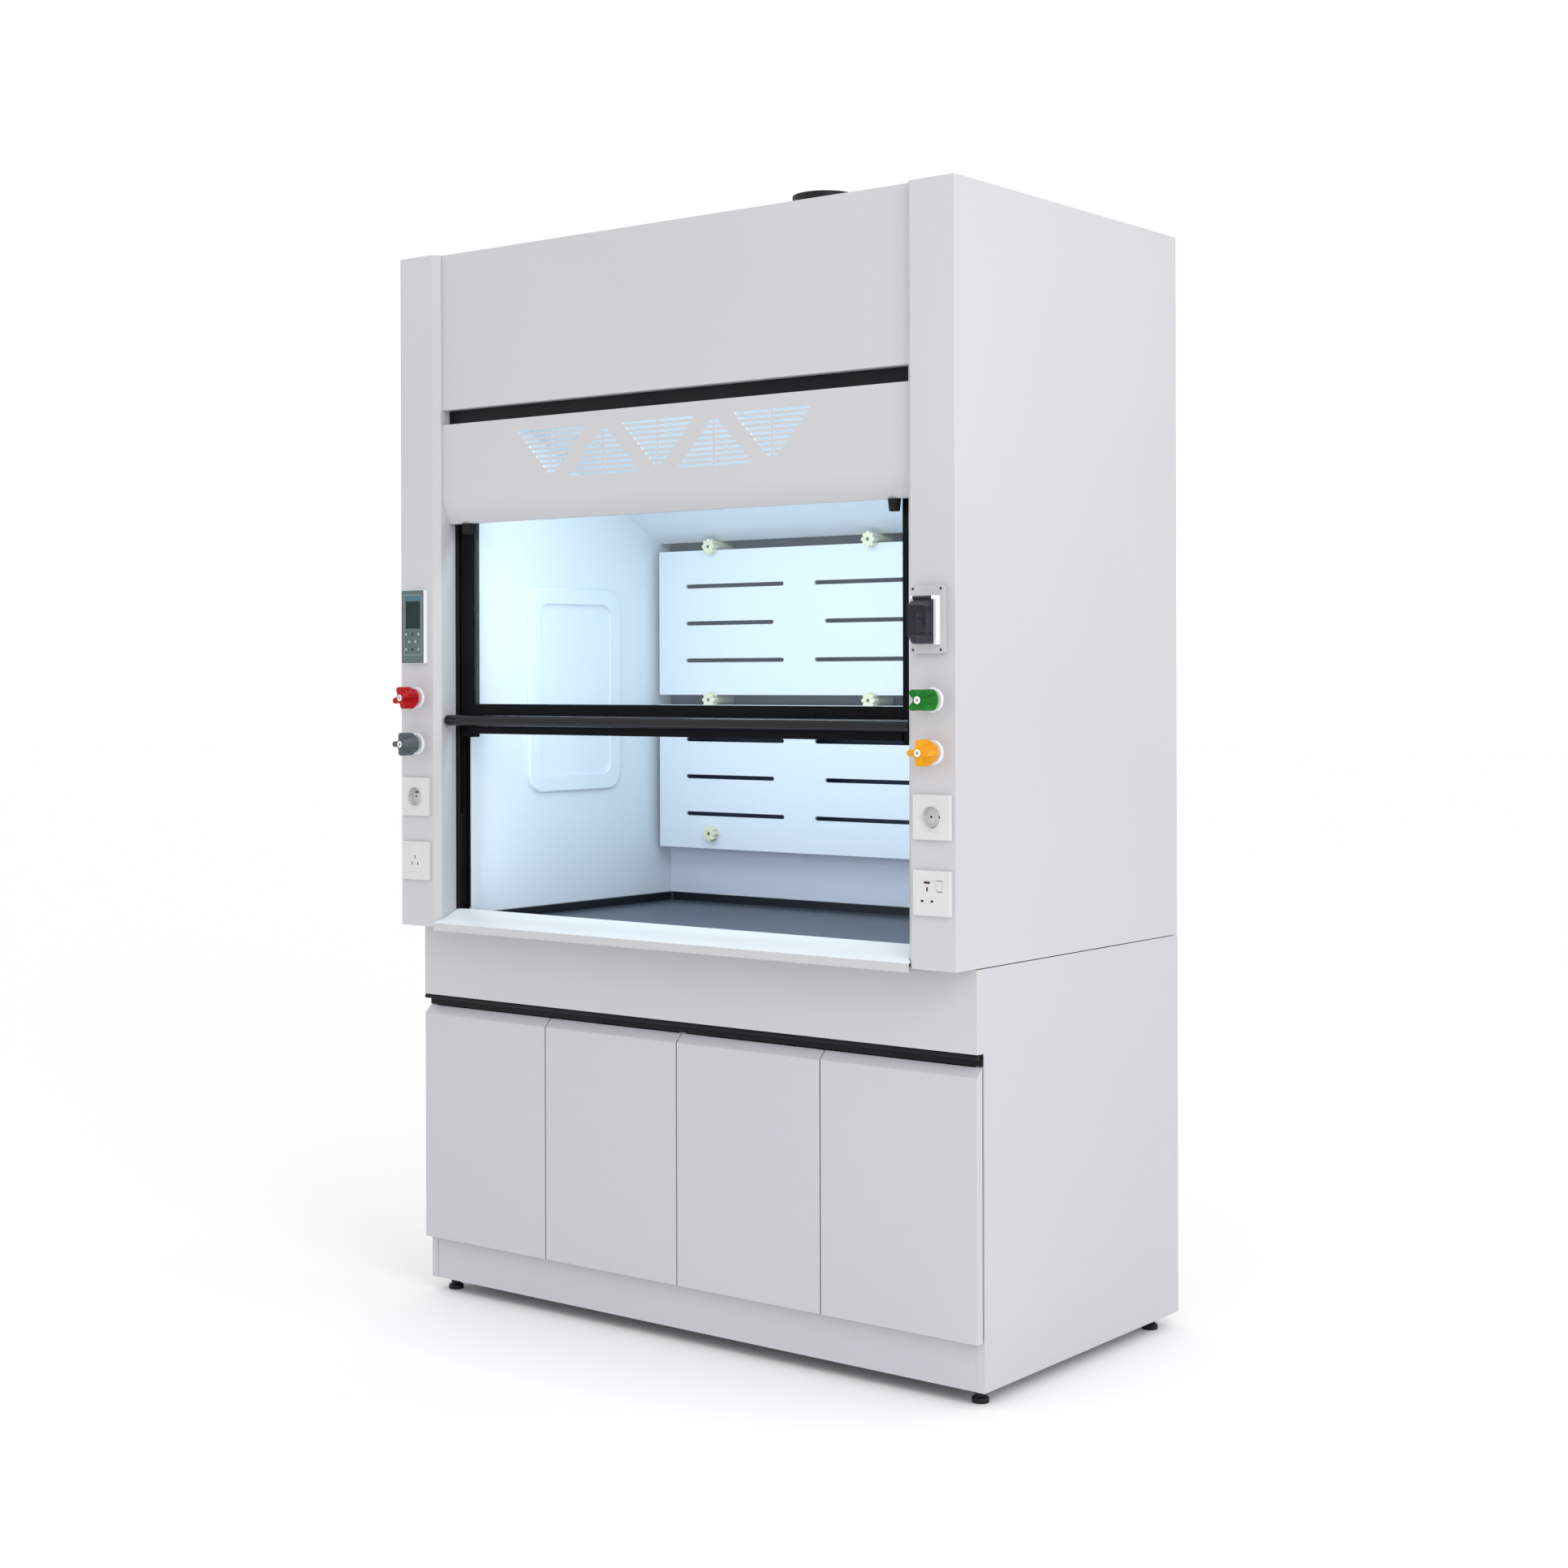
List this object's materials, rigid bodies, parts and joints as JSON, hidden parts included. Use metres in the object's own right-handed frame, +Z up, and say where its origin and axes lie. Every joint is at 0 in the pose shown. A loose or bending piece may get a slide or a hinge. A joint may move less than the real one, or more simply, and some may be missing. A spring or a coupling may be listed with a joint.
{
  "type": "ducted fume hood",
  "caption": "Floor-standing ducted fume hood with a vertical sliding sash, lined chamber with slotted back baffles, service controls on both pillars and a cupboard base with doors.",
  "frame": {"origin": "on the floor under the middle of the hood's overall width and depth", "axes": "+X to the right of a person facing the hood, +Y to its back, +Z up"},
  "size_m": [1.5, 0.905, 2.477],
  "materials": {
    "shell_white": "powder coat, fine satin",
    "sill_white": "powder coat, satin",
    "sash_black": "black anodised extrusion",
    "black_trim": "black powder coat",
    "handle_black": "gloss black coat",
    "black_plastic": "black moulded plastic",
    "black_rubber": "black rubber",
    "liner_white": "compact laminate, satin",
    "cover_white": "white moulded plastic",
    "cream_plastic": "cream moulded plastic",
    "lens": "frosted lamp lens",
    "worktop_dark": "dark chemical-resistant slab",
    "sash_glass": "clear laminated safety glass",
    "steel": "zinc-plated steel",
    "counterweight_iron": "plain cast iron",
    "board_white": "board with white melamine face",
    "valve_white": "white plastic",
    "knob_red": "red moulded plastic",
    "knob_grey": "grey moulded plastic",
    "knob_green": "green moulded plastic",
    "knob_yellow": "yellow moulded plastic",
    "socket_white": "white moulded plastic",
    "controller_teal": "teal-grey front film on white housing",
    "display_green": "dark display window",
    "lever_blue": "blue moulded plastic",
    "smoky_window": "smoky clear plastic"
  },
  "bodies": {
    "hood": {"side_shell_left": "shell_white", "side_shell_right": "shell_white", "header_panel": "shell_white", "header_trim_strip": "black_trim", "vent_panel": "shell_white", "roof_panel": "shell_white", "back_panel": "shell_white", "exhaust_collar": "black_plastic", "liner_sides": "liner_white", "liner_back": "liner_white", "liner_ceiling": "liner_white", "access_covers": "cover_white", "top_baffle": "liner_white", "upper_baffle": "liner_white", "lower_baffle": "liner_white", "baffle_standoffs": "cream_plastic", "baffle_knobs": "cream_plastic", "lamp_housing": "shell_white", "lamp_lens": "lens", "worktop": "worktop_dark", "airfoil_sill": "sill_white", "sash_tracks": "black_trim", "sash_bumpers": "black_rubber", "lift_belts": "black_rubber", "pulley_brackets": "steel", "counterweight_guides": "steel", "base_sides": "board_white", "plinth_frame": "board_white", "base_floor": "board_white", "base_back": "board_white", "base_partition": "board_white", "levelling_feet": "black_plastic", "apron": "shell_white", "finger_pull": "black_trim", "hinge_arms": "steel", "valve_bodies": "valve_white", "sockets_left": "socket_white", "sockets_right": "socket_white", "controller_housing": "controller_teal", "controller_display": "display_green", "breaker_box": "socket_white"},
    "sash": {"sash_frame": "sash_black", "sash_glass": "sash_glass", "sash_handle": "handle_black", "lift_arms": "steel"},
    "counterweights": {"counterweights": "counterweight_iron"},
    "lift_shaft": {"lift_shaft": "steel"},
    "idler_pulleys": {"idler_pulleys": "steel"},
    "door_outer_left": {"door_outer_left": "board_white"},
    "door_inner_left": {"door_inner_left": "board_white"},
    "door_inner_right": {"door_inner_right": "board_white"},
    "door_outer_right": {"door_outer_right": "board_white"},
    "valve_knob_red": {"valve_knob_red": "knob_red"},
    "valve_knob_grey": {"valve_knob_grey": "knob_grey"},
    "valve_knob_green": {"valve_knob_green": "knob_green"},
    "valve_knob_yellow": {"valve_knob_yellow": "knob_yellow"},
    "breaker_window": {"breaker_window": "smoky_window"},
    "breaker_lever": {"breaker_lever": "lever_blue"},
    "socket_rocker": {"socket_rocker": "socket_white"}
  },
  "joints": [
    {"name": "sash_slide", "type": "slide", "parent": "hood", "child": "sash", "axis": [0, 0, 1], "range_m": [-0.38, 0.4]},
    {"name": "counterweight_slide", "type": "slide", "parent": "hood", "child": "counterweights", "axis": [0, 0, 1], "range_m": [-0.4, 0.38]},
    {"name": "lift_shaft_spin", "type": "hinge", "parent": "hood", "child": "lift_shaft", "pos_m": [0, -0.2912, 2.2], "axis": [1, 0, 0], "range_deg": [-733, 696]},
    {"name": "idler_spin", "type": "hinge", "parent": "hood", "child": "idler_pulleys", "pos_m": [0, -0.2912, 0.905], "axis": [1, 0, 0], "range_deg": [-733, 696]},
    {"name": "door_outer_left_hinge", "type": "hinge", "parent": "hood", "child": "door_outer_left", "pos_m": [-0.7385, -0.3225, 0.388], "axis": [0, 0, -1], "range_deg": [0, 105]},
    {"name": "door_inner_left_hinge", "type": "hinge", "parent": "hood", "child": "door_inner_left", "pos_m": [-0.0115, -0.3225, 0.388], "axis": [0, 0, 1], "range_deg": [0, 90]},
    {"name": "door_inner_right_hinge", "type": "hinge", "parent": "hood", "child": "door_inner_right", "pos_m": [0.0115, -0.3225, 0.388], "axis": [0, 0, -1], "range_deg": [0, 90]},
    {"name": "door_outer_right_hinge", "type": "hinge", "parent": "hood", "child": "door_outer_right", "pos_m": [0.7385, -0.3225, 0.388], "axis": [0, 0, 1], "range_deg": [0, 105]},
    {"name": "valve_knob_red_turn", "type": "hinge", "parent": "hood", "child": "valve_knob_red", "pos_m": [-0.6985, -0.4275, 1.35], "axis": [0, -1, 0], "range_deg": [0, 270]},
    {"name": "valve_knob_grey_turn", "type": "hinge", "parent": "hood", "child": "valve_knob_grey", "pos_m": [-0.6985, -0.4275, 1.247], "axis": [0, -1, 0], "range_deg": [0, 270]},
    {"name": "valve_knob_green_turn", "type": "hinge", "parent": "hood", "child": "valve_knob_green", "pos_m": [0.6985, -0.4275, 1.35], "axis": [0, -1, 0], "range_deg": [0, 270]},
    {"name": "valve_knob_yellow_turn", "type": "hinge", "parent": "hood", "child": "valve_knob_yellow", "pos_m": [0.6985, -0.4275, 1.251], "axis": [0, -1, 0], "range_deg": [0, 90]},
    {"name": "breaker_window_hinge", "type": "hinge", "parent": "hood", "child": "breaker_window", "pos_m": [0.6975, -0.43, 1.542], "axis": [-1, 0, 0], "range_deg": [0, 110]},
    {"name": "breaker_lever_toggle", "type": "hinge", "parent": "hood", "child": "breaker_lever", "pos_m": [0.6975, -0.4205, 1.499], "axis": [1, 0, 0], "range_deg": [0, 45]},
    {"name": "socket_rocker_tilt", "type": "hinge", "parent": "hood", "child": "socket_rocker", "pos_m": [0.717, -0.4025, 1], "axis": [-1, 0, 0], "range_deg": [0, 15]}
  ],
  "couplings": [
    {"joint": "counterweight_slide", "follows": "sash_slide", "ratio": -1},
    {"joint": "lift_shaft_spin", "follows": "sash_slide", "rad_per_m": -31.949},
    {"joint": "idler_spin", "follows": "sash_slide", "rad_per_m": -31.949}
  ]
}
